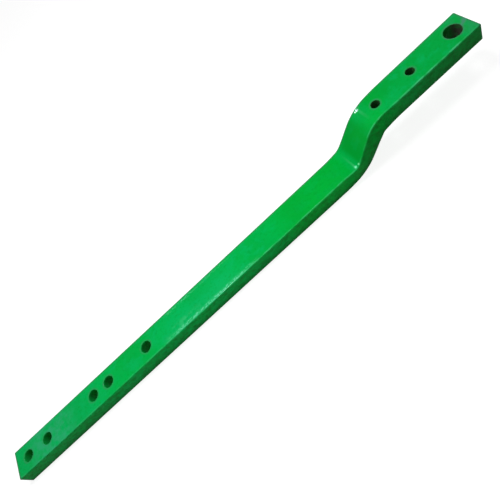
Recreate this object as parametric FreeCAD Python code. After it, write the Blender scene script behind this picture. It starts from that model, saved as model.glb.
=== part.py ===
import FreeCAD, Part
import math
import os

Vector = FreeCAD.Vector

# Tractor drawbar: one flat steel bar, drilled for its pins and bolts, with a double bend near its hitch end.
# Sizes are in millimetres. The origin is the centre of the hitch pin hole, half way through the bar.
# +X runs along the bar and out past the hitch end, +Y across its width, +Z up along the hitch pin.

# Bar stock
bar_width = 65.0
bar_thickness = 35.0
overall_length = 1257.0
rolled_corner_radius = 2.0      # the four long edges, as the bar leaves the rolls
corner_flats = 3                # flats that stand for the round of each long edge
end_chamfer = 1.2               # ground round the outline of each sawn end

# Double bend. Both bends are pressed over the same former, so they share one radius.
offset_height = 65.0            # between the centrelines of the two straight lengths
ramp_angle = 47.0               # slope of the ramp between the bends, in degrees
inner_bend_radius = 40.0        # on the hollow face of each bend
hitch_to_upper_bend = 208.5     # from the hitch pin hole to where the centrelines cross
edge_spread = 2.5               # how far an edge of the hollow face is squeezed out sideways
spread_runout = 25.0            # the squeezed edge runs on this far past the end of a bend
station_pitch = 4.5             # distance between the cross-sections that shape the bends

# Holes at the hitch end
hitch_hole_diameter = 33.0
hitch_end_distance = 33.0       # hole centre to the end of the bar
rear_bolt_diameter = 17.5
hitch_to_rear_bolts = 100.0
rear_bolt_spacing = 83.0

# Holes along the front, in the order they come from the front end
front_pin_diameter = 25.0
front_end_distance = 36.5       # first hole centre to the end of the bar
end_pair_spacing = 58.0         # first hole to second
end_pair_to_middle = 140.5      # second hole to third
middle_pair_spacing = 45.0      # third hole to fourth
middle_pair_to_last = 111.0     # fourth hole to fifth

hole_mouth_chamfer = 0.6
cutter_reach = 5.0              # how far a hole's cutter stands out of each face of the bar

# Worked out from the sizes above
half_thickness = bar_thickness / 2
ramp_turn = math.radians(ramp_angle)
centreline_radius = inner_bend_radius + half_thickness
tangent_length = centreline_radius * math.tan(ramp_turn / 2)
arc_length = centreline_radius * ramp_turn
ramp_straight = offset_height / math.sin(ramp_turn) - 2 * tangent_length
ramp_reach = offset_height / math.tan(ramp_turn)
upper_bend_end_x = tangent_length - hitch_to_upper_bend
lower_bend_start_x = -hitch_to_upper_bend - ramp_reach - tangent_length
front_end_x = hitch_end_distance - overall_length

# Distances along the centreline, counted from where the spread of the lower bend begins
lower_bend_middle = spread_runout + arc_length / 2
upper_bend_middle = lower_bend_middle + arc_length + ramp_straight
shaped_length = upper_bend_middle + arc_length / 2 + spread_runout


def centreline(distance):
    """Point on the centreline of the shaped length, and its slope there."""
    x = lower_bend_start_x - spread_runout
    z = -offset_height
    slope = 0.0
    stretches = [
        (spread_runout, 0.0),
        (arc_length, ramp_turn),
        (ramp_straight, 0.0),
        (arc_length, -ramp_turn),
        (spread_runout, 0.0),
    ]
    left = distance
    for length, turn in stretches:
        step = min(left, length)
        turned = turn * step / length
        # A chord leaves at half the angle that its arc turns through.
        chord = step
        if turned:
            chord = 2 * step / turned * math.sin(turned / 2)
        x += chord * math.cos(slope + turned / 2)
        z += chord * math.sin(slope + turned / 2)
        slope += turned
        left -= step
    return Vector(x, 0, z), slope


def swell(distance, middle):
    """Rises from 0 to 1 at the middle of a bend and falls back to 0 past its other end."""
    half_span = arc_length / 2 + spread_runout
    share = abs(distance - middle) / half_span
    if share >= 1:
        return 0.0
    return math.cos(math.pi / 2 * share) ** 2


def edge_growth(distance):
    """How far the upper edges stand out, and the lower ones draw in, at this place."""
    hollow_on_top = swell(distance, lower_bend_middle)
    hollow_below = swell(distance, upper_bend_middle)
    return edge_spread * (hollow_on_top - hollow_below)


def section_points(place, slope, growth=0.0):
    """Outline of a cross-section, wider above than below by the growth, with a run of flats at each corner."""
    across = Vector(0, 1, 0)
    along = Vector(math.cos(slope), 0, math.sin(slope))
    upward = along.cross(across)
    upper = bar_width / 2 + growth
    lower = bar_width / 2 - growth
    corners = [
        place - across * lower - upward * half_thickness,
        place + across * lower - upward * half_thickness,
        place + across * upper + upward * half_thickness,
        place - across * upper + upward * half_thickness,
    ]
    points = []
    for number, corner in enumerate(corners):
        back = (corners[number - 1] - corner).normalize()
        ahead = (corners[(number + 1) % 4] - corner).normalize()
        half_angle = back.getAngle(ahead) / 2
        middle = corner + (back + ahead).normalize() * (rolled_corner_radius / math.sin(half_angle))
        spoke = corner + back * (rolled_corner_radius / math.tan(half_angle)) - middle
        turn = 180 - 2 * math.degrees(half_angle)
        for step in range(corner_flats + 1):
            points.append(middle + FreeCAD.Rotation(along, turn * step / corner_flats).multVec(spoke))
    return points


def section_face(points):
    """Flat face inside a cross-section's outline."""
    return Part.Face(Part.makePolygon(points + [points[0]]))


def straight_length(inner_x, end_x, height):
    """Straight run of the bar from a bend to its sawn end, with a chamfer ground round the end."""
    section = section_face(section_points(Vector(inner_x, 0, height), 0.0))
    run = section.extrude(Vector(end_x - inner_x, 0, 0))
    outline = [
        edge for edge in run.Edges
        if all(abs(vertex.X - end_x) < 1e-6 for vertex in edge.Vertexes)
    ]
    return run.makeChamfer(end_chamfer, outline)


def long_curve(points, distances):
    """Smooth curve through one corner of every cross-section, level where it meets the straight lengths."""
    level = Vector(1, 0, 0)
    curve = Part.BSplineCurve()
    curve.interpolate(
        Points=list(points), Parameters=distances, InitialTangent=level, FinalTangent=level
    )
    return curve


def strip(first, second):
    """Face between two long curves: curved along the bar, and straight across from one to the other."""
    surface = Part.BSplineSurface()
    surface.buildFromPolesMultsKnots(
        [first.getPoles(), second.getPoles()],
        [2, 2],
        first.getMultiplicities(),
        [0, 1],
        first.getKnots(),
        False,
        False,
        1,
        first.Degree,
    )
    return surface.toShape()


def double_bend():
    """Lower bend, ramp and upper bend: a strip between each pair of long curves, closed by a flat at each end."""
    count = math.ceil(shaped_length / station_pitch)
    distances = [shaped_length * number / count for number in range(count + 1)]
    stations = [section_points(*centreline(distance), edge_growth(distance)) for distance in distances]
    curves = [long_curve(points, distances) for points in zip(*stations)]
    faces = [section_face(stations[0]), section_face(stations[-1])]
    for number, curve in enumerate(curves):
        faces.append(strip(curves[number - 1], curve))
    shell = Part.makeShell(faces)
    shell.sewShape()
    bend = Part.makeSolid(shell)
    if bend.Volume < 0:
        bend.reverse()
    return bend


def hole_cutter(x, height, diameter):
    """Upright cutter for a drilled hole: a plain bore that opens into a 45 degree mouth at each face."""
    bore = diameter / 2
    top = half_thickness + cutter_reach
    outer = bore + hole_mouth_chamfer + cutter_reach
    shoulder = half_thickness - hole_mouth_chamfer
    profile = [
        Vector(0, 0, -top),
        Vector(outer, 0, -top),
        Vector(bore, 0, -shoulder),
        Vector(bore, 0, shoulder),
        Vector(outer, 0, top),
        Vector(0, 0, top),
    ]
    outline = Part.makePolygon(profile + [profile[0]])
    cutter = Part.Face(outline).revolve(Vector(0, 0, 0), Vector(0, 0, 1), 360)
    cutter.translate(Vector(x, 0, height))
    return cutter


def hitch_end_cutters():
    """The hitch pin hole and the two bolt holes behind it."""
    first_bolt = -hitch_to_rear_bolts
    return [
        hole_cutter(0, 0, hitch_hole_diameter),
        hole_cutter(first_bolt, 0, rear_bolt_diameter),
        hole_cutter(first_bolt - rear_bolt_spacing, 0, rear_bolt_diameter),
    ]


def front_cutters():
    """The five pin holes of the long straight, stepped off from the front end."""
    x = front_end_x + front_end_distance
    cutters = [hole_cutter(x, -offset_height, front_pin_diameter)]
    for step in (end_pair_spacing, end_pair_to_middle, middle_pair_spacing, middle_pair_to_last):
        x += step
        cutters.append(hole_cutter(x, -offset_height, front_pin_diameter))
    return cutters


def drawbar():
    """The finished bar, as one solid."""
    shaped_start = lower_bend_start_x - spread_runout
    shaped_end = upper_bend_end_x + spread_runout
    long_straight = straight_length(shaped_start, front_end_x, -offset_height)
    hitch_straight = straight_length(shaped_end, hitch_end_distance, 0)
    bar = double_bend().fuse([long_straight, hitch_straight])
    return bar.cut(hitch_end_cutters() + front_cutters())


os.makedirs("parts", exist_ok=True)
solid = drawbar().Solids[0]
solid.exportStep("parts/drawbar.step")
print("drawbar:", "valid" if solid.isValid() else "NOT VALID", round(solid.Volume / 1000, 1), "cm3")
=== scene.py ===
import math
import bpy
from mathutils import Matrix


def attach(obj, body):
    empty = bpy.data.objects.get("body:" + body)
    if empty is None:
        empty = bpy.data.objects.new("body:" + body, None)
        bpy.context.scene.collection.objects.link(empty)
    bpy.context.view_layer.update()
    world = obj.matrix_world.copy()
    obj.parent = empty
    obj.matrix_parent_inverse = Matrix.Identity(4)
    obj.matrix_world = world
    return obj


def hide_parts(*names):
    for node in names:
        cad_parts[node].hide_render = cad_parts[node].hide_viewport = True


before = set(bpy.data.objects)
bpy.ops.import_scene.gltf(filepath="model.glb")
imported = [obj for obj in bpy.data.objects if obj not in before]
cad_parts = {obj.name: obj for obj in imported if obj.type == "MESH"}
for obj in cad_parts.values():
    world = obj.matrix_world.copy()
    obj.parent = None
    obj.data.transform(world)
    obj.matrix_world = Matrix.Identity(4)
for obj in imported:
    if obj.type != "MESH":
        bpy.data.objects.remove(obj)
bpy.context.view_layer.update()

from types import SimpleNamespace

import bmesh
import bpy
import numpy as np
from mathutils import Matrix, Vector

print("frame loaded:", ", ".join(sorted(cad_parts)))

# Tractor drawbar: one flat steel bar with a double bend near its hitch end, drilled, and sprayed green.
# The origin is the centre of the hitch pin hole. +X runs out past the hitch end, +Y across, and +Z up.

barSettings = {
    # Sizes, in millimetres unless a note says otherwise
    "frontEnd": -1224.0,        # where the bar is sawn off, along X
    "hitchEnd": 33.0,
    "width": 65.0,
    "thickness": 35.0,
    "edgeRound": 2.2,           # radius of the four long edges
    "endRound": 2.0,            # radius ground round each sawn end
    "offset": 65.0,             # drop from the hitch end to the long straight
    "rampAngle": 47.0,          # degrees
    "innerRadius": 40.0,        # on the hollow face of each bend
    "creaseRadii": (24.0, 14.0),    # to which pressing has tightened it, at the lower bend and the upper
    "upperCross": -208.5,       # where the centrelines meet at the upper bend, along X
    "edgeSpread": 2.45,         # how far pressing squeezes out the edges of a hollow face
    "spreadRunout": 25.0,       # how far the spread goes on past the end of a bend
    "faceCurl": 1.6,            # how far pressing crowns one face of a bend and dishes the other
    "curlPower": 4.0,           # the higher it is, the nearer to its edges a curled face stays level

    # Holes, from the front end
    "holePlaces": (-1187.5, -1129.5, -989.0, -944.0, -833.0, -183.0, -100.0, 0.0),
    "holeDiameters": (25.0, 25.0, 25.0, 25.0, 25.0, 17.5, 17.5, 33.0),
    "mouthRound": 0.9,

    # Mesh
    "patchReach": (22.5, 22.5, 22.5, 22.5, 22.5, 17.0, 19.0, 27.0),     # half the face round each hole
    "patchSteps": 18,           # along each side of that face
    "patchRings": (0.83, 0.64, 0.44, 0.26, 0.12, 0.04),     # between its border at 1 and the mouth at 0
    "straightStep": 7.0,        # the most between cross-sections
    "bendStep": 2.5,            # the most over both bends, from fineStart to the next hole
    "fineStart": -335.0,
    "sideSteps": 8,             # up each side
    "roundSteps": 6,            # over each round
    "guard": 0.5,               # width of the strip beside each round, so that the flat shades flat
    "wallSteps": 6,             # down each bore
    "tablePoints": 25001,       # of the table that turns X into a distance along the bar
    "corrections": 4,           # to a point's distance along the bar, once the table has given it roughly
    "stepSlack": 1e-6,          # of a step, by which a run may be longer than its steps
}

millimetre = 0.001


def barStretches():
    # The bar runs straight, bends up, climbs, bends back and runs straight: the length of each stretch on the
    # centreline, and the angle it turns. A bend reaches its radius times the tangent of half its angle to
    # either side of where the centrelines cross, and the climb is the offset over the sine of the angle.
    turn = math.radians(barSettings["rampAngle"])
    radius = barSettings["innerRadius"] + barSettings["thickness"] / 2
    tangent = radius * math.tan(turn / 2)
    climb = barSettings["offset"] / math.sin(turn) - 2 * tangent
    lowerCross = barSettings["upperCross"] - barSettings["offset"] / math.tan(turn)
    return (
        (lowerCross - tangent - barSettings["frontEnd"], 0.0),
        (radius * turn, turn),
        (climb, 0.0),
        (radius * turn, -turn),
        (barSettings["hitchEnd"] - barSettings["upperCross"] - tangent, 0.0),
    )


stretches = barStretches()
barLength = sum(length for length, turn in stretches)
arcLength = stretches[1][0]
lowerMiddle = stretches[0][0] + arcLength / 2
upperMiddle = lowerMiddle + arcLength + stretches[2][0]
halfThickness = barSettings["thickness"] / 2
halfWidth = barSettings["width"] / 2


def centreline(distance):
    # Place and slope on the centreline. A chord of an arc leaves at half the angle that the arc turns, and is
    # as long as the arc times the sine of that half angle over the half angle.
    x = np.full_like(distance, barSettings["frontEnd"])
    z = np.full_like(distance, -barSettings["offset"])
    slope = np.zeros_like(distance)
    left = distance.copy()
    for length, turn in stretches:
        step = np.clip(left, 0, length)
        turned = turn * step / length
        chord = step * np.sinc(turned / (2 * np.pi))
        x += chord * np.cos(slope + turned / 2)
        z += chord * np.sin(slope + turned / 2)
        slope += turned
        left = left - step
    return x, z, slope


def bendShare(distance):
    # Plus one at the middle of the lower bend, minus one at the middle of the upper, as squared cosines.
    halfSpan = arcLength / 2 + barSettings["spreadRunout"]
    lower = np.clip(np.abs(distance - lowerMiddle) / halfSpan, 0, 1)
    upper = np.clip(np.abs(distance - upperMiddle) / halfSpan, 0, 1)
    return np.cos(np.pi / 2 * lower) ** 2 - np.cos(np.pi / 2 * upper) ** 2


def widening(distance, height):
    # The hollow side of a bend is squeezed wider, the other side drawn narrower, in proportion to height.
    return 1 + barSettings["edgeSpread"] / halfWidth * bendShare(distance) * height / halfThickness


def creaseDepth(distance, middle, tight):
    # How much deeper the hollow face of a bend lies than its round: seen from the round's own centre, the two
    # flats run on straight, radius over the cosine of the angle past the end of the round, until the smaller
    # round of the crease joins them.
    radius = barSettings["innerRadius"]
    half = math.radians(barSettings["rampAngle"]) / 2
    angle = np.minimum(np.abs(distance - middle) / (radius + halfThickness), half)
    centre = (radius - tight) / math.cos(half)
    roundFrom = half - math.atan((radius - tight) * math.tan(half) / radius)
    onRound = np.minimum(angle, roundFrom)
    crease = centre * np.cos(onRound) + np.sqrt(tight ** 2 - (centre * np.sin(onRound)) ** 2)
    return np.where(angle < roundFrom, crease, radius / np.cos(half - angle)) - radius


def creased(distance, height):
    # The height once the creases are pressed in. Each is deepest on its hollow face, above at the lower bend
    # and below at the upper, and has died out at the face opposite.
    lower = creaseDepth(distance, lowerMiddle, barSettings["creaseRadii"][0])
    upper = creaseDepth(distance, upperMiddle, barSettings["creaseRadii"][1])
    share = height / barSettings["thickness"] + 0.5
    return height - lower * share + upper * (1 - share)


def bentPlace(distance, across, height):
    # A point of the straight bar, carried to its place on the bent one: off the centreline by its height,
    # square to the slope. The curl falls off from the middle of the face as a power of the distance across.
    level = 1 - np.abs(across / halfWidth) ** barSettings["curlPower"]
    lifted = creased(distance, height) + barSettings["faceCurl"] * bendShare(distance) * level
    x, z, slope = centreline(distance)
    return np.stack(
        (x - lifted * np.sin(slope), across * widening(distance, height), z + lifted * np.cos(slope)), axis=-1
    )


tableDistance = np.linspace(0.0, barLength, barSettings["tablePoints"])
tableX, _, tableSlope = centreline(tableDistance)


def distanceAt(x, height):
    # The distance along the centreline whose cross-section passes a given X at a given height.
    return np.interp(x, tableX - height * np.sin(tableSlope), tableDistance)


def facePlace(x, y, height):
    # The point of the top or bottom face that lies straight above or below a point of the plan.
    distance = distanceAt(x, height)
    return bentPlace(distance, y / widening(distance, height), np.full_like(x, height))


def guardedSteps(reach, steps):
    # From one end of a flat to the other: a narrow strip, then equal steps, then a narrow strip.
    inner = reach - barSettings["guard"]
    return np.concatenate(([-reach], np.linspace(-inner, inner, steps - 1), [reach]))


def sectionLoop():
    # Outline of the bar's section, anticlockwise seen from the hitch end: a place on the inner rectangle,
    # and the direction in which the edge round pushes it out. Also the column where each flat begins.
    innerY = halfWidth - barSettings["edgeRound"]
    innerZ = halfThickness - barSettings["edgeRound"]
    acrossFace = guardedSteps(innerY, barSettings["patchSteps"])
    upSide = guardedSteps(innerZ, barSettings["sideSteps"])
    rounds = np.linspace(0, np.pi / 2, barSettings["roundSteps"] + 1)[1:-1]
    sides = (
        (acrossFace, np.full_like(acrossFace, innerZ), np.pi / 2, -1),
        (np.full_like(upSide, -innerY), upSide, np.pi, -1),
        (acrossFace, np.full_like(acrossFace, -innerZ), 3 * np.pi / 2, 1),
        (np.full_like(upSide, innerY), upSide, 2 * np.pi, 1),
    )
    places, directions, starts = [], [], []
    column = 0
    for y, z, heading, order in sides:
        starts.append(column)
        flat = np.stack((y, z), axis=1)[::order]
        corner = np.repeat(flat[-1:], len(rounds), axis=0)
        angle = np.concatenate((np.full(len(flat), heading), heading + rounds))
        places.append(np.concatenate((flat, corner)))
        directions.append(np.stack((np.cos(angle), np.sin(angle)), axis=1))
        column += len(angle)
    return np.concatenate(places), np.concatenate(directions), starts


def barRuns():
    # Runs of cross-sections from one end round to the other, by turns between the holes and round them: the
    # first X, the last X, the longest step, and whether it is round a hole.
    fineStart = barSettings["fineStart"]
    straightStep = barSettings["straightStep"]
    runs = []
    reached = barSettings["frontEnd"] + barSettings["endRound"]
    for x, reach in zip(barSettings["holePlaces"], barSettings["patchReach"]):
        if reached < fineStart < x:
            runs.append((reached, fineStart, straightStep, False))
            runs.append((fineStart, x - reach, barSettings["bendStep"], False))
        else:
            runs.append((reached, x - reach, straightStep, False))
        runs.append((x - reach, x + reach, 2 * reach / barSettings["patchSteps"], True))
        reached = x + reach
    runs.append((reached, barSettings["hitchEnd"] - barSettings["endRound"], straightStep, False))
    return runs


def barStations():
    # Where each cross-section meets the top and the bottom face, as a distance along the centreline, how far
    # the end round has drawn it in, and the number of the section at which the face round each hole begins.
    # Round a hole the sections stand upright, so that the face there is square in plan.
    phi = np.linspace(np.pi / 2, 0, barSettings["roundSteps"] + 1)
    endSteps = barSettings["endRound"] * (1 - np.sin(phi))
    endInset = barSettings["endRound"] * (1 - np.cos(phi))
    meets = {halfThickness: [endSteps], -halfThickness: [endSteps]}
    count = len(endSteps)
    holeStarts = []
    for first, last, step, holed in barRuns():
        steps = math.ceil((last - first) / step - barSettings["stepSlack"])
        if steps < 1:
            continue
        if holed:
            holeStarts.append(count - 1)
        for height, places in meets.items():
            if holed:
                places.append(distanceAt(np.linspace(first, last, steps + 1)[1:], height))
            else:
                places.append(np.linspace(distanceAt(first, height), distanceAt(last, height), steps + 1)[1:])
        count += steps
    top, bottom = (np.concatenate(places + [barLength - endSteps[::-1][1:]]) for places in meets.values())
    inset = np.zeros_like(top)
    inset[:len(endInset)] = endInset
    inset[-len(endInset):] = endInset[::-1]
    return top, bottom, inset, holeStarts


def gridQuads(numbers):
    # Faces between neighbouring rows and columns of a grid of vertex numbers, whose columns close in a ring.
    ring = np.concatenate((numbers, numbers[:, :1]), axis=1)
    return np.stack((ring[:-1, :-1], ring[1:, :-1], ring[1:, 1:], ring[:-1, 1:]), axis=-1)


def roundHole(numbers, row, lowColumn, highColumn):
    # Vertex numbers round the square face about a hole, anticlockwise seen from above.
    steps = barSettings["patchSteps"]
    up = np.arange(steps)
    order = 1 if highColumn > lowColumn else -1
    return np.concatenate((
        numbers[row + steps, lowColumn + order * up],
        numbers[row + steps - up, highColumn],
        numbers[row, highColumn - order * up],
        numbers[row + up, lowColumn],
    ))


def holeRings(x, radius, height, border, distance, across):
    # One face's share of a hole: from the square border the rings draw in to the circle of the mouth, which
    # then turns down a quarter round into the bore.
    mouth = barSettings["mouthRound"]
    angle = -np.pi / 4 + 2 * np.pi * np.arange(len(border)) / len(border)
    rimX = x + (radius + mouth) * np.cos(angle)
    rimY = (radius + mouth) * np.sin(angle)
    rimDistance = distanceAt(rimX, height)
    rimAcross = rimY / widening(rimDistance, height)
    share = np.array(barSettings["patchRings"])[:, None]
    face = bentPlace(
        rimDistance + share * (distance[border] - rimDistance),
        rimAcross + share * (across[border] - rimAcross),
        np.full((len(share), len(border)), height),
    )
    phi = np.linspace(0, np.pi / 2, barSettings["roundSteps"] + 1)[:, None]
    out = radius + mouth * (1 - np.sin(phi))
    turned = facePlace(x + out * np.cos(angle), out * np.sin(angle), height)
    turned[..., 2] -= math.copysign(1, height) * mouth * (1 - np.cos(phi))
    return np.concatenate((face, turned))


def holeTube(x, radius, borders, distance, across):
    # All rings of a hole: in over the top face, straight down the bore in equal steps, and out underneath.
    upper = holeRings(x, radius, halfThickness, borders[0], distance, across)
    lower = holeRings(x, radius, -halfThickness, borders[1], distance, across)
    down = np.linspace(0, 1, barSettings["wallSteps"] + 1)[1:-1, None, None]
    wall = upper[-1] + down * (lower[-1] - upper[-1])
    return np.concatenate((upper, wall, lower[::-1]))


def barShape():
    # The whole bar as one closed mesh: the skin is the section's outline carried along the bent centreline,
    # and each hole is a tube of rings from the top face down through the bore to the bottom face.
    top, bottom, inset, holeStarts = barStations()
    places, directions, starts = sectionLoop()
    push = (barSettings["edgeRound"] - inset)[:, None]
    across = places[:, 0] + push * directions[:, 0]
    height = places[:, 1] + push * directions[:, 1]
    share = (height + halfThickness) / barSettings["thickness"]
    distance = bottom[:, None] + (top - bottom)[:, None] * share
    numbers = np.arange(distance.size).reshape(distance.shape)
    quads = gridQuads(numbers)
    kept = np.ones(quads.shape[:2], bool)
    points = [bentPlace(distance, across, height).reshape(-1, 3)]
    faces = []
    count = distance.size
    steps = barSettings["patchSteps"]
    topFlat, bottomFlat = starts[0], starts[2]
    for x, diameter, row in zip(barSettings["holePlaces"], barSettings["holeDiameters"], holeStarts):
        borders = (
            roundHole(numbers, row, topFlat + steps, topFlat),
            roundHole(numbers, row, bottomFlat, bottomFlat + steps),
        )
        for flat in (topFlat, bottomFlat):
            kept[row:row + steps, flat:flat + steps] = False
        rings = holeTube(x, diameter / 2, borders, distance.ravel(), across.ravel())
        ringNumbers = count + np.arange(rings.shape[0] * rings.shape[1]).reshape(rings.shape[:2])
        count += ringNumbers.size
        points.append(rings.reshape(-1, 3))
        tube = np.concatenate((borders[0][None], ringNumbers, borders[1][None]))
        faces.append(gridQuads(tube).reshape(-1, 4))
    faces.append(quads[kept])
    used, renumbered = np.unique(np.concatenate(faces), return_inverse=True)
    caps = [np.searchsorted(used, numbers[row]).tolist() for row in (0, -1)]
    return np.concatenate(points)[used], renumbered.reshape(-1, 4).tolist() + caps


def wallGap(points):
    # How far each point is, in plan, outside the wall of its nearest hole.
    gaps = [
        np.hypot(points[:, 0] - x, points[:, 1]) - diameter / 2
        for x, diameter in zip(barSettings["holePlaces"], barSettings["holeDiameters"])
    ]
    return np.min(gaps, axis=0)


def edgeGap(distance, across, depth):
    # On a face one of these gaps is nothing, and the next smallest is the way to the nearest edge.
    gaps = (
        halfWidth - np.abs(across),
        np.minimum(depth, barSettings["thickness"] - depth),
        np.minimum(distance, barLength - distance),
    )
    return np.sort(gaps, axis=0)[1]


def sectionPlace(points):
    # Each point's distance along the bar, across it, and below the top face. The distance that X gives is
    # corrected by how far along the slope the point still lies from the centreline's place there.
    distance = distanceAt(points[:, 0], 0.0)
    for _ in range(barSettings["corrections"]):
        x, z, slope = centreline(distance)
        distance = distance + (points[:, 0] - x) * np.cos(slope) + (points[:, 2] - z) * np.sin(slope)
    x, z, slope = centreline(distance)
    height = (points[:, 2] - z) * np.cos(slope) - (points[:, 0] - x) * np.sin(slope)
    return distance, points[:, 1] / widening(distance, height), halfThickness - height


def addObject(name, data):
    # An object for the data, in the scene.
    made = bpy.data.objects.new(name, data)
    bpy.context.scene.collection.objects.link(made)
    return made


def makeMesh(name, points, faces):
    # Smooth mesh in metres, a thousandth of the points, with every face turned outwards.
    mesh = bpy.data.meshes.new(name)
    mesh.from_pydata((points * millimetre).tolist(), [], faces)
    outward = bmesh.new()
    outward.from_mesh(mesh)
    bmesh.ops.recalc_face_normals(outward, faces=outward.faces)
    outward.to_mesh(mesh)
    outward.free()
    mesh.shade_smooth()
    return mesh


def makeBar():
    # The bar, and three values at each of its points, by which the paint finds the holes, edges and foot.
    points, faces = barShape()
    mesh = makeMesh("painted_bar", points, faces)
    distance, across, depth = sectionPlace(points)
    surfaceValues = {
        "fromWall": wallGap(points),
        "fromEdge": edgeGap(distance, across, depth),
        "fromTop": depth,
    }
    for name, values in surfaceValues.items():
        mesh.attributes.new(name, "FLOAT", "POINT").data.foreach_set("value", values.astype(np.float32))
    print("bar:", len(points), "points,", len(faces), "faces")
    return addObject("painted_bar", mesh)


bar = makeBar()


def addNode(tree, kind, inputs=None, **settings):
    # One shader node: plain values go on its sockets, and sockets of other nodes are joined to them.
    made = tree.nodes.new(kind)
    for name, value in settings.items():
        setattr(made, name, value)
    for name, value in (inputs or {}).items():
        if isinstance(value, bpy.types.NodeSocket):
            tree.links.new(value, made.inputs[name])
        else:
            made.inputs[name].default_value = value
    return made


def calculate(tree, operation, *values):
    # One step of arithmetic, such as the first value less the second.
    return addNode(tree, "ShaderNodeMath", dict(enumerate(values)), operation=operation).outputs[0]


def combine(tree, operation, values):
    # All of the values added or multiplied together, or the largest of them, two at a time from the first.
    result = values[0]
    for value in values[1:]:
        result = calculate(tree, operation, result, value)
    return result


def product(tree, *values):
    # Each value times the next.
    return combine(tree, "MULTIPLY", values)


def ramp(tree, value, low, high, atLow=0.0, atHigh=1.0):
    # Eases from one value to another as the input goes from low to high, by three of its square less two of
    # its cube.
    made = addNode(
        tree, "ShaderNodeMapRange",
        {"Value": value, "From Min": low, "From Max": high, "To Min": atLow, "To Max": atHigh},
        interpolation_type="SMOOTHSTEP",
    )
    return made.outputs["Result"]


def window(tree, value, begins, full, fades, ends):
    # A ramp up times a ramp down: one between the two inner marks, and nothing outside the outer ones.
    return product(tree, ramp(tree, value, begins, full), ramp(tree, value, fades, ends, 1.0, 0.0))


def blendColours(tree, share, first, second):
    # The first colour where the share is nothing, the second where it is one. The node's colour sockets are
    # the ones numbered 6 and 7, and 2 on its way out.
    return addNode(tree, "ShaderNodeMix", {0: share, 6: first, 7: second}, data_type="RGBA").outputs[2]


def stretched(tree, place, scale, turn=0.0):
    # The place turned about Z, and its X, Y and Z each times its own scale.
    made = addNode(tree, "ShaderNodeMapping", {"Vector": place, "Scale": scale, "Rotation": (0.0, 0.0, turn)})
    return made.outputs["Vector"]


def attribute(tree, name):
    # A value that makeBar has kept at the points of the mesh.
    return addNode(tree, "ShaderNodeAttribute", attribute_name=name).outputs["Fac"]


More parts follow.
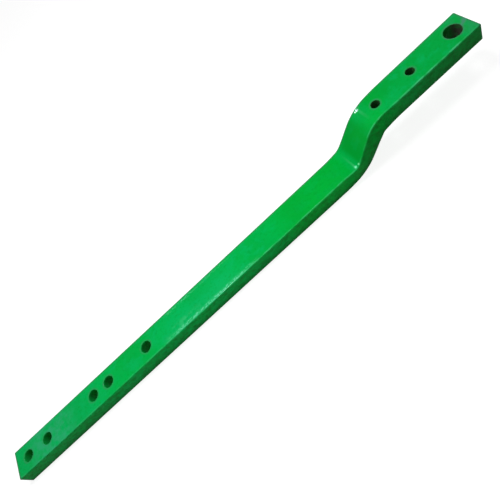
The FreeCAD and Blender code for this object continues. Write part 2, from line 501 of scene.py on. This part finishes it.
enamel = {
    # Colours are red, green, blue and alpha. Places are in metres, along the bar and across it, and ways from
    # an edge, a hole's wall or the top face in millimetres. A ramp is where it begins and ends, then its
    # values there, nothing and one if they aren't given. A window is where a mark begins, is full, starts to
    # fade and ends. A strength is the most that a mark covers.
    "noises": {                 # scale, detail, roughness, and how much each is squeezed along X, Y and Z
        "broad": (9.0, 2.0, 0.50, None),
        "clouds": (47.0, 3.0, 0.60, (0.8, 1.0, 1.0)),
        "mottle": (200.0, 4.0, 0.60, None),
        "blotches": (105.0, 4.0, 0.62, (0.8, 1.0, 1.2)),
        "patches": (60.0, 3.0, 0.50, None),
        "grain": (430.0, 3.0, 0.70, (0.25, 1.0, 1.0)),
        "flecks": (230.0, 2.0, 0.60, (0.6, 1.0, 1.0)),
        "clumps": (55.0, 3.0, 0.60, None),
        "speckle": (62.0, 4.0, 0.60, None),
        "scratches": (150.0, 3.0, 0.50, None),
        "flakes": (85.0, 4.0, 0.60, None),
        "ripples": (38.0, 2.0, 0.50, (0.5, 1.4, 1.4)),
        "peel": (420.0, 2.0, 0.50, None),
    },
    "topFacing": (0.45, 0.75),  # ramps over how far the surface faces up, and to either side
    "sideFacing": (0.6, 0.9),

    # The coat, bluer toward the front end and warmer from the bends on
    "green": (0.0, 0.512, 0.078, 1.0),
    "frontGreen": (0.001, 0.505, 0.112, 1.0),
    "frontRamp": (-1.05, -0.90, 1.0, 0.0),
    "bendGreen": (0.0, 0.490, 0.045, 1.0),
    "bendRamp": (-0.50, -0.42),
    "hitchGreen": (0.0, 0.450, 0.064, 1.0),
    "hitchRamp": (-0.22, -0.12),

    # Clouds of a bluer and of a deeper green, a fine mottle, and painted shade on the slope between the bends
    "mintGreen": (0.002, 0.52, 0.130, 1.0),
    "mintAlong": (-0.84, -0.74, -0.64, -0.54),
    "mintAcross": (-0.03, 0.03, 0.9, 0.4),
    "deepAndShadeGreen": (0.0, 0.36, 0.034, 1.0),
    "deepRamp": (0.40, 0.66, 0.0, 0.25),
    # Painted shade: the slope between the bends tilts away from the light above, so it is painted darker all
    # over
    "slopeShadeAlong": (-0.292, -0.264, -0.232, -0.206),     # the slope between the bends is deeper all over
    "slopeShadeStrength": 0.75,
    "cloudRamp": (0.46, 0.68, 0.0, 0.55),
    "cloudOffTop": (0.0, 1.0, 0.3, 1.0),                # weaker on the sides and the underside
    "evenAlong": (-0.50, -0.42, -0.20, -0.12),          # and where the coat is more even
    "evenRamp": (0.0, 1.0, 1.0, 0.25),
    "bendClouds": (             # the colour of each, its window along the bar, and its ramp across
        ("mintGreen", (-0.2960, -0.2840, -0.2755, -0.2660), (-0.030, 0.030, 0.36, 0.26)),
        ("mintGreen", (-0.2340, -0.2150, -0.2030, -0.1830), (-0.020, 0.020, 0.16, 0.48)),
        ("mintGreen", (-0.1950, -0.1820, -0.1560, -0.1380), (-0.022, 0.004, 0.40, 0.00)),
        ("deepAndShadeGreen", (-0.2240, -0.2100, -0.1560, -0.1300), (-0.016, 0.014, 0.00, 0.36)),
    ),
    "mottleRamp": (0.48, 0.71, 0.0, 0.42),

    # The sides, darker in blotches, where the scale of the rolled steel shows, with painted shade along the
    # foot, partly darker paint there, and toward the hitch end
    "sideBlotchAndShade": (0.004, 0.15, 0.010, 1.0),
    "blotchRamp": (0.42, 0.70, 0.0, 0.50),
    "sideFootShade": (0.006, 0.12, 0.020, 1.0),
    "footShadeRamp": (20.0, 43.0),
    "footWaver": 10.0,          # how far the blotches move the foot's upper limit
    "footShadeStrength": 0.72,
    "shadedEndRamp": (-0.30, -0.05),
    "shadedEndStrength": 0.35,

    # Thin pale paint on the long edges and round the mouths of the holes; along the top of the edges,
    # strongest at the hitch end, it is partly a painted highlight
    "thinPaintAndHighlight": (0.06, 0.60, 0.22, 1.0),
    "edgeRamp": (2.6, 4.6, 1.0, 0.0),
    "edgeFacing": (0.55, 0.95, 0.3, 1.0),
    "edgeAlong": (-0.86, -0.74, 0.30, 0.50),
    "edgeHighlightAlong": (-0.16, -0.10, -0.015, 0.0),
    "edgeHighlightStrength": 0.45,
    "mouthBand": (0.35, 0.9, 1.4, 3.2),
    "mouthStrength": 0.35,
    "thinPatches": (0.36, 0.62, 0.2, 1.0),

    # Painted shade: the darker line where the far edge and both ends turn over, away from the light
    "shadedEdge": (0.035, 0.25, 0.095, 1.0),
    "shadedRamp": (2.4, 5.5, 1.0, 0.0),
    "barMiddle": -0.5955,
    "pastEdge": 0.0255,         # across, from the middle of the bar
    "pastEnd": 0.622,           # along, from the middle of the bar
    "pastRamp": (0.0, 0.002),
    "shadedPatches": (0.3, 0.6, 0.6, 1.0),
    "shadedStrength": 0.85,

    # The dusty ring round each hole, and the worn rim of the hitch pin hole
    "ringFilm": (0.024, 0.36, 0.100, 1.0),
    "ringBand": (0.2, 1.0, 2.2, 5.0),
    "ringPatches": (0.30, 0.60, 0.3, 0.85),
    "wornRim": (0.055, 0.27, 0.14, 1.0),
    "wornBand": (-0.3, 0.4, 1.3, 2.6),
    "wornAlong": (-0.030, -0.020),
    "wornPatches": (0.35, 0.60, 0.25, 0.85),

    # Painted highlight: the pale line across each bend, strongest at one edge of the face: its window along,
    # its ramp across
    "creaseHighlights": (
        ((-0.2832, -0.2806, -0.2792, -0.2766), (-0.030, 0.024, 1.0, 0.0)),
        ((-0.2122, -0.2092, -0.2076, -0.2042), (-0.020, 0.026)),
    ),
    "creaseHighlightStrength": 0.30,

    # Handling scuffs, as fine broken streaks along both edges of the top face
    "scuff": (0.12, 0.74, 0.37, 1.0),
    "scuffMarks": (             # windows along and across, ramps of the noises that break it, and strength
        ((-0.80, -0.73, -0.60, -0.52), (-0.0322, -0.0290, -0.0262, -0.0222),
         {"grain": (0.40, 0.60, 0.40, 1.0), "flecks": (0.45, 0.58, 0.10, 1.0)}, 1.05),
        ((-0.80, -0.73, -0.60, -0.52), (-0.0335, -0.0305, -0.0250, -0.0180),
         {"clumps": (0.34, 0.62, 0.2, 1.0)}, 0.08),
        ((-0.80, -0.76, -0.71, -0.66), (-0.0290, -0.0240, -0.0160, -0.0040),
         {"clumps": (0.44, 0.66)}, 0.20),
        ((-0.78, -0.73, -0.67, -0.56), (0.0200, 0.0245, 0.0270, 0.0290),
         {"clumps": (0.40, 0.58, 0.2, 1.0), "flecks": (0.44, 0.58, 0.0, 1.0)}, 0.66),
    ),

    # Painted glints: pale spots near the edges of the bends where the light's highlights sit: the place of
    # each, its ramp outwards, and its colour
    "paintedGlints": (
        ((-0.2722, -0.0308, -0.0415), (0.0012, 0.0029, 1.0, 0.0), (0.16, 0.86, 0.36, 1.0)),
        ((-0.2790, -0.0289, -0.0452), (0.0015, 0.0037, 1.0, 0.0), (0.14, 0.88, 0.40, 1.0)),
        ((-0.2098, 0.0237, 0.0127), (0.0018, 0.0034, 1.0, 0.0), (0.50, 0.97, 0.78, 1.0)),
    ),

    # The dusty film round the second front hole and the one round the hitch pin hole: the colour of each, its
    # window along, and the ramp of its speckle
    "films": (
        ((0.045, 0.46, 0.235, 1.0), (-1.20, -1.15, -1.09, -1.03), (0.32, 0.66, 0.0, 0.55)),
        ((0.027, 0.38, 0.135, 1.0), (0.000, 0.018, 0.040, 0.050), (0.34, 0.60, 0.08, 0.52)),
    ),

    # The grey scrape from the hitch pin hole to the end, where the jaw of an implement rides
    "scrape": (0.072, 0.335, 0.185, 1.0),
    "scrapeTurn": -0.515,       # radians
    "scrapeAside": 0.0123,      # from the turned X axis
    "scrapeAlong": (0.004, 0.010, 0.040, 0.050),
    "scrapeWidth": (0.15, 0.0015),      # what it gains on its way, and what it has at the start
    "scrapeSides": (0.2, 1.5, 1.0, 0.0),
    "scrapePatches": (0.33, 0.6, 0.45, 1.0),

    # The bores, thinly sprayed, with more rust on the bare steel toward the hitch
    "boreGreen": (0.002, 0.43, 0.068, 1.0),
    "boreRust": (0.058, 0.058, 0.042, 1.0),
    "boreRamp": (0.08, 0.75, 1.0, 0.0),
    "rustRamp": (0.32, 0.52, 0.75, 1.0),
    "rustAlong": ((-0.40, -0.22, 0.05, 0.72), (-0.08, -0.03, 0.0, 0.25)),       # two ramps that add up
    "sprayedAlong": (-0.030, -0.025, 0.004, 0.013),
    "sprayedStrength": 0.9,

    # Gloss
    "roughnessRamp": (0.3, 0.7, 0.08, 0.16),            # over the mottle
    "dullRoughness": 0.25,                              # more where the paint is scuffed or thin
    "specularLevel": 0.008,
    "specularTint": (0.0, 1.0, 0.80, 1.0),
    "dullAlong": (-0.315, -0.297, -0.258, -0.242),      # rubbed dull at the lower bend
    "coatRamp": (0.0, 1.0, 0.037, 0.012),
    "clearRoughness": 0.08,

    # Relief, in metres
    "rippleHeight": 0.0002,
    "peelHeight": 0.00003,
    "scuffDepth": 0.00006,
}


def noise(tree, place, name):
    # Soft random patches between nothing and one, about as many to the metre as the scale says.
    scale, detail, roughness, squeeze = enamel["noises"][name]
    if squeeze:
        place = stretched(tree, place, squeeze)
    made = addNode(
        tree, "ShaderNodeTexNoise",
        {"Vector": place, "Scale": scale, "Detail": detail, "Roughness": roughness},
    )
    return made.outputs["Fac"]


def surfaceMeasures(tree):
    # What the marks are laid out by: the place on the bar, the way from its edges, hole walls and top face,
    # how far it faces up or to either side, and two noises that several marks share.
    texture = addNode(tree, "ShaderNodeTexCoord").outputs
    place = texture["Object"]
    along = addNode(tree, "ShaderNodeSeparateXYZ", {"Vector": place}).outputs
    facing = addNode(tree, "ShaderNodeSeparateXYZ", {"Vector": texture["Normal"]}).outputs
    return SimpleNamespace(
        place=place,
        x=along["X"],
        y=along["Y"],
        fromEdge=attribute(tree, "fromEdge"),
        fromWall=attribute(tree, "fromWall"),
        fromTop=attribute(tree, "fromTop"),
        facingUp=facing["Z"],
        onTop=ramp(tree, facing["Z"], *enamel["topFacing"]),
        onSide=ramp(tree, calculate(tree, "ABSOLUTE", facing["Y"]), *enamel["sideFacing"]),
        mottle=noise(tree, place, "mottle"),
        patches=noise(tree, place, "patches"),
    )


def coatLayers(tree, at):
    # The coat's greens take over from each other along the bar. The clouds are windows or noises, times ramps
    # that weaken them across the bar, off the top and where the coat is even. Painted shade darkens the slope
    # between the bends.
    atFront = product(tree, ramp(tree, at.x, *enamel["frontRamp"]), at.onTop)
    mintAcross = ramp(tree, at.y, *enamel["mintAcross"])
    minty = product(tree, window(tree, at.x, *enamel["mintAlong"]), mintAcross, at.onTop)
    # Painted shade: the slope between the bends is darker, as it tilts away from the light above.
    slopeShade = product(tree, window(tree, at.x, *enamel["slopeShadeAlong"]), enamel["slopeShadeStrength"])
    deepCloud = ramp(tree, noise(tree, at.place, "broad"), *enamel["deepRamp"])
    deepenedAndShaded = calculate(tree, "ADD", deepCloud, slopeShade)
    clouded = product(
        tree,
        ramp(tree, noise(tree, at.place, "clouds"), *enamel["cloudRamp"]),
        ramp(tree, at.onTop, *enamel["cloudOffTop"]),
        ramp(tree, window(tree, at.x, *enamel["evenAlong"]), *enamel["evenRamp"]),
    )
    layers = [
        (atFront, enamel["frontGreen"]),
        (ramp(tree, at.x, *enamel["bendRamp"]), enamel["bendGreen"]),
        (ramp(tree, at.x, *enamel["hitchRamp"]), enamel["hitchGreen"]),
        (minty, enamel["mintGreen"]),
        (deepenedAndShaded, enamel["deepAndShadeGreen"]),
        (clouded, enamel["mintGreen"]),
    ]
    for colour, along, across in enamel["bendClouds"]:
        share = product(tree, window(tree, at.x, *along), ramp(tree, at.y, *across), at.onTop)
        layers.append((share, enamel[colour]))
    layers.append((ramp(tree, at.mottle, *enamel["mottleRamp"]), enamel["deepAndShadeGreen"]))
    return layers


def sideLayers(tree, at):
    # The blotches are a ramp of a noise. Painted shade along the foot is a ramp of the depth below the top
    # face, with a share of that noise added, and painted shade darkens the sides toward the hitch end by a
    # ramp along the bar.
    blotches = noise(tree, at.place, "blotches")
    blotched = product(tree, at.onSide, ramp(tree, blotches, *enamel["blotchRamp"]))
    depth = calculate(tree, "MULTIPLY_ADD", blotches, enamel["footWaver"], at.fromTop)
    # Painted shade, with some darker paint, along the foot of the sides.
    footShade = product(tree, at.onSide, ramp(tree, depth, *enamel["footShadeRamp"]), enamel["footShadeStrength"])
    # Painted shade on the sides toward the hitch end, which get less light.
    towardEnd = ramp(tree, at.x, *enamel["shadedEndRamp"])
    shadedEnd = product(tree, at.onSide, towardEnd, enamel["shadedEndStrength"])
    return [(blotched, enamel["sideBlotchAndShade"]), (footShade, enamel["sideFootShade"]), (shadedEnd, enamel["sideBlotchAndShade"])]


def thinAndHighlightLayer(tree, at):
    # The larger of a band beside the long edges and a band round the holes, times patches. The edge band,
    # strongest where it faces up and at the hitch end, is partly a painted highlight.
    facing = ramp(tree, at.facingUp, *enamel["edgeFacing"])
    edgeBand = product(tree, ramp(tree, at.fromEdge, *enamel["edgeRamp"]), facing)
    # Painted highlight, stronger on the edges near the hitch end.
    pale = product(tree, window(tree, at.x, *enamel["edgeHighlightAlong"]), enamel["edgeHighlightStrength"])
    edgeShare = calculate(tree, "ADD", ramp(tree, at.x, *enamel["edgeAlong"]), pale)
    mouths = product(tree, window(tree, at.fromWall, *enamel["mouthBand"]), enamel["mouthStrength"])
    thinnedAndHighlit = calculate(tree, "MAXIMUM", product(tree, edgeBand, edgeShare), mouths)
    return product(tree, thinnedAndHighlit, ramp(tree, at.patches, *enamel["thinPatches"])), enamel["thinPaintAndHighlight"]


def shadedLayer(tree, at):
    # Painted shade: a band beside the edges, kept to where the place is past the far edge or past either end.
    fromMiddle = calculate(tree, "ABSOLUTE", calculate(tree, "SUBTRACT", at.x, enamel["barMiddle"]))
    pastEnd = calculate(tree, "SUBTRACT", fromMiddle, enamel["pastEnd"])
    pastEdge = calculate(tree, "SUBTRACT", at.y, enamel["pastEdge"])
    shaded = product(
        tree,
        ramp(tree, at.fromEdge, *enamel["shadedRamp"]),
        ramp(tree, calculate(tree, "MAXIMUM", pastEdge, pastEnd), *enamel["pastRamp"]),
        ramp(tree, at.patches, *enamel["shadedPatches"]),
        enamel["shadedStrength"],
    )
    return shaded, enamel["shadedEdge"]


def rimLayers(tree, at):
    # Both are a window over the way from a hole's wall, times patches, on the top face.
    ringed = product(
        tree,
        window(tree, at.fromWall, *enamel["ringBand"]),
        ramp(tree, at.patches, *enamel["ringPatches"]),
        at.onTop,
    )
    worn = product(
        tree,
        window(tree, at.fromWall, *enamel["wornBand"]),
        ramp(tree, at.x, *enamel["wornAlong"]),
        at.onTop,
        ramp(tree, at.patches, *enamel["wornPatches"]),
    )
    return [(ringed, enamel["ringFilm"]), (worn, enamel["wornRim"])]


def creaseHighlightLayer(tree, at):
    # The painted highlight lines are windows along the bar times ramps across it, added together.
    lines = [
        product(tree, window(tree, at.x, *along), ramp(tree, at.y, *across))
        for along, across in enamel["creaseHighlights"]
    ]
    return product(tree, combine(tree, "ADD", lines), at.onTop, enamel["creaseHighlightStrength"]), enamel["thinPaintAndHighlight"]


def scuffShare(tree, at):
    # Each mark is its two windows, times the ramps of its noises and its strength, and the marks add up.
    noises = {name: noise(tree, at.place, name) for name in ("grain", "flecks", "clumps")}
    marks = []
    for along, across, ramps, strength in enamel["scuffMarks"]:
        broken = [ramp(tree, noises[name], *limits) for name, limits in ramps.items()]
        area = product(tree, window(tree, at.x, *along), window(tree, at.y, *across))
        marks.append(product(tree, area, *broken, strength))
    return product(tree, combine(tree, "ADD", marks), at.onTop)


def paintedGlintLayers(tree, at):
    # Painted glints: a ramp over the distance from the middle of each spot.
    layers = []
    for middle, fading, colour in enamel["paintedGlints"]:
        away = addNode(tree, "ShaderNodeVectorMath", {0: at.place, 1: middle}, operation="DISTANCE")
        layers.append((ramp(tree, away.outputs["Value"], *fading), colour))
    return layers


def filmLayers(tree, at):
    # A window along the bar times speckle, on the top face.
    speckle = noise(tree, at.place, "speckle")
    return [
        (product(tree, window(tree, at.x, *along), ramp(tree, speckle, *fading), at.onTop), colour)
        for colour, along, fading in enamel["films"]
    ]


def scrapeShare(tree, at):
    # In axes turned to lie along it: a window along, times a ramp over the way from its middle line as a part
    # of its width there, which grows along it, times patches.
    turned = stretched(tree, at.place, (1.0, 1.0, 1.0), enamel["scrapeTurn"])
    turned = addNode(tree, "ShaderNodeSeparateXYZ", {"Vector": turned}).outputs
    fromMiddle = calculate(tree, "ADD", turned["Y"], enamel["scrapeAside"])
    width = calculate(tree, "MULTIPLY_ADD", turned["X"], *enamel["scrapeWidth"])
    aside = calculate(tree, "ABSOLUTE", calculate(tree, "DIVIDE", fromMiddle, width))
    return product(
        tree,
        window(tree, turned["X"], *enamel["scrapeAlong"]),
        ramp(tree, aside, *enamel["scrapeSides"]),
        ramp(tree, noise(tree, at.place, "scratches"), *enamel["scrapePatches"]),
        at.onTop,
    )


def boreLayer(tree, at, inBore):
    # Rust over thin green by flakes, times a share that grows toward the hitch. Neither covers the part of
    # the hitch pin hole that took the spray.
    rust = combine(tree, "ADD", [ramp(tree, at.x, *limits) for limits in enamel["rustAlong"]])
    rusted = product(tree, ramp(tree, noise(tree, at.place, "flakes"), *enamel["rustRamp"]), rust)
    colour = blendColours(tree, rusted, enamel["boreGreen"], enamel["boreRust"])
    sprayed = product(tree, window(tree, at.x, *enamel["sprayedAlong"]), enamel["sprayedStrength"])
    return product(tree, inBore, calculate(tree, "SUBTRACT", 1.0, sprayed)), colour


def enamelMaterial():
    # Each layer is blended over the colour so far by its share. Roughness rises with the largest share of
    # what is dull, and the relief is ripples and orange peel, less the scuffs.
    material = bpy.data.materials.new("green_enamel")
    material.use_nodes = True
    tree = material.node_tree
    shader = tree.nodes["Principled BSDF"]
    at = surfaceMeasures(tree)

    scuffs = scuffShare(tree, at)
    films = filmLayers(tree, at)
    scrape = scrapeShare(tree, at)
    inBore = ramp(tree, at.fromWall, *enamel["boreRamp"])
    layers = [
        *coatLayers(tree, at),
        *sideLayers(tree, at),
        thinAndHighlightLayer(tree, at),
        shadedLayer(tree, at),
        *rimLayers(tree, at),
        creaseHighlightLayer(tree, at),
        (scuffs, enamel["scuff"]),
        *paintedGlintLayers(tree, at),
        *films,
        (scrape, enamel["scrape"]),
        boreLayer(tree, at, inBore),
    ]
    colour = enamel["green"]
    for share, layerColour in layers:
        colour = blendColours(tree, share, colour, layerColour)
    tree.links.new(colour, shader.inputs["Base Color"])

    dull = combine(tree, "MAXIMUM", [scuffs, *(share for share, filmColour in films), scrape, inBore])
    dull = product(tree, dull, enamel["dullRoughness"])
    rough = calculate(tree, "ADD", ramp(tree, at.mottle, *enamel["roughnessRamp"]), dull)
    tree.links.new(rough, shader.inputs["Roughness"])
    shader.inputs["Specular IOR Level"].default_value = enamel["specularLevel"]
    shader.inputs["Specular Tint"].default_value = enamel["specularTint"]
    coat = ramp(tree, window(tree, at.x, *enamel["dullAlong"]), *enamel["coatRamp"])
    tree.links.new(coat, shader.inputs["Coat Weight"])
    shader.inputs["Coat Roughness"].default_value = enamel["clearRoughness"]

    ripples = product(tree, noise(tree, at.place, "ripples"), enamel["rippleHeight"])
    peel = product(tree, noise(tree, at.place, "peel"), enamel["peelHeight"])
    raised = calculate(tree, "ADD", ripples, peel)
    relief = calculate(tree, "SUBTRACT", raised, product(tree, scuffs, enamel["scuffDepth"]))
    bump = addNode(tree, "ShaderNodeBump", {"Height": relief, "Distance": 1.0, "Strength": 1.0})
    tree.links.new(bump.outputs["Normal"], shader.inputs["Normal"])
    return material


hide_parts("drawbar")
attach(bar, "root")
bar.data.materials.append(enamelMaterial())
print("paint: green_enamel")

studio = {
    # Metres and watts
    "floorMiddle": -0.6,
    "floorSize": 14.0,
    "floorLevel": -0.0825,
    "floorShade": (0.36, 0.36, 0.36, 1.0),      # to light that bounces
    "floorSeen": (0.35, 0.35, 0.35, 1.0),       # to the camera and to reflections, with this glow over it
    "floorGlow": 0.88,
    "skyLevel": 0.18,                           # as a light
    "skySeen": 1.0,                             # to the camera and to reflections
    "white": (1.0, 1.0, 1.0, 1.0),
    "lights": {                 # matte and gloss say whether it lights the paint's colour, and its shine
        "overhead": {
            "place": (-0.56, 0.42, 1.4), "target": (-0.6, 0.0, 0.0),
            "size": (0.7, 0.7), "power": 18.2, "matte": True, "gloss": True,
        },
        "fill": {
            "place": (-0.60, -0.95, 0.0), "target": (-0.60, 0.0, 0.0),
            "size": (0.5, 0.25), "power": 1.5, "matte": True, "gloss": False,
        },
        "glint": {
            "place": (-0.94, 0.77, 1.40), "target": (-0.24, 0.0, 0.0),
            "size": (0.21, 0.21), "power": 36.0, "matte": False, "gloss": True,
        },
    },
}


def seenShader(tree, bounced, seen):
    # The second shader to the camera, to reflections and through glass, and the first to all other light.
    rays = addNode(tree, "ShaderNodeLightPath").outputs
    share = combine(
        tree, "MAXIMUM", [rays["Is Camera Ray"], rays["Is Glossy Ray"], rays["Is Transmission Ray"]]
    )
    mixed = addNode(tree, "ShaderNodeMixShader", {0: share, 1: bounced.outputs[0], 2: seen.outputs[0]})
    return mixed.outputs[0]


def floorMaterial():
    # Pale grey to light that bounces. What is seen glows almost white, and its diffuse part keeps the shadow.
    material = bpy.data.materials.new("pale_floor")
    material.use_nodes = True
    tree = material.node_tree
    tree.nodes.clear()
    bounced = addNode(tree, "ShaderNodeBsdfDiffuse", {"Color": studio["floorShade"]})
    lit = addNode(tree, "ShaderNodeBsdfDiffuse", {"Color": studio["floorSeen"]})
    glow = addNode(tree, "ShaderNodeEmission", {"Color": studio["white"], "Strength": studio["floorGlow"]})
    seen = addNode(tree, "ShaderNodeAddShader", {0: lit.outputs[0], 1: glow.outputs[0]})
    addNode(tree, "ShaderNodeOutputMaterial", {"Surface": seenShader(tree, bounced, seen)})
    return material


def makeFloor():
    # A level square under the whole bar, at the height on which the long straight lies.
    half = studio["floorSize"] / 2
    corners = [
        (x * half + studio["floorMiddle"], y * half, studio["floorLevel"])
        for x, y in ((-1, -1), (1, -1), (1, 1), (-1, 1))
    ]
    mesh = bpy.data.meshes.new("studio_floor")
    mesh.from_pydata(corners, [], [(0, 1, 2, 3)])
    mesh.materials.append(floorMaterial())
    floor = addObject("studio_floor", mesh)


def makeSky():
    # A dim white light all round, which is seen as full white.
    world = bpy.data.worlds.new("studio_sky")
    world.use_nodes = True
    bpy.context.scene.world = world
    tree = world.node_tree
    tree.nodes.clear()
    dim = addNode(tree, "ShaderNodeBackground", {"Color": studio["white"], "Strength": studio["skyLevel"]})
    seen = addNode(tree, "ShaderNodeBackground", {"Color": studio["white"], "Strength": studio["skySeen"]})
    addNode(tree, "ShaderNodeOutputWorld", {"Surface": seenShader(tree, dim, seen)})


def softLight(name, place, target, size, power, matte, gloss):
    # A rectangle that shines toward its target and isn't seen itself.
    lamp = bpy.data.lights.new(name, "AREA")
    lamp.shape = "RECTANGLE"
    lamp.size, lamp.size_y = size
    lamp.energy = power
    light = addObject(name, lamp)
    light.location = place
    light.rotation_euler = (Vector(target) - Vector(place)).to_track_quat("-Z", "Y").to_euler()
    light.visible_camera = False
    light.visible_diffuse = matte
    light.visible_glossy = gloss


def makeLights():
    # One soft light for each entry of the studio's lights.
    for name, settings in studio["lights"].items():
        softLight(name, **settings)


makeFloor()
makeSky()
makeLights()
print("studio: floor, sky and", len(studio["lights"]), "lights")

view = {
    "place": (-0.44325, -0.58576, 0.69334),     # metres
    "right": (0.7292457, -0.4883126, -0.4793239),
    "up": (0.6769525, 0.6169179, 0.4014319),
    "back": (0.0996792, -0.6172221, 0.7804492),
    "lens": 34.124,                             # millimetres, as is the sensor's width
    "sensor": 36.0,
}


def makeCamera():
    # The columns of its turn are the directions to its right, its top and its back.
    lens = bpy.data.cameras.new("camera")
    lens.sensor_width = view["sensor"]
    lens.lens = view["lens"]
    camera = addObject("camera", lens)
    turn = Matrix((view["right"], view["up"], view["back"])).transposed().to_4x4()
    camera.matrix_world = Matrix.Translation(view["place"]) @ turn
    bpy.context.scene.camera = camera


makeCamera()
bpy.context.scene.view_settings.view_transform = "Standard"
print("camera: lens of", view["lens"], "mm")
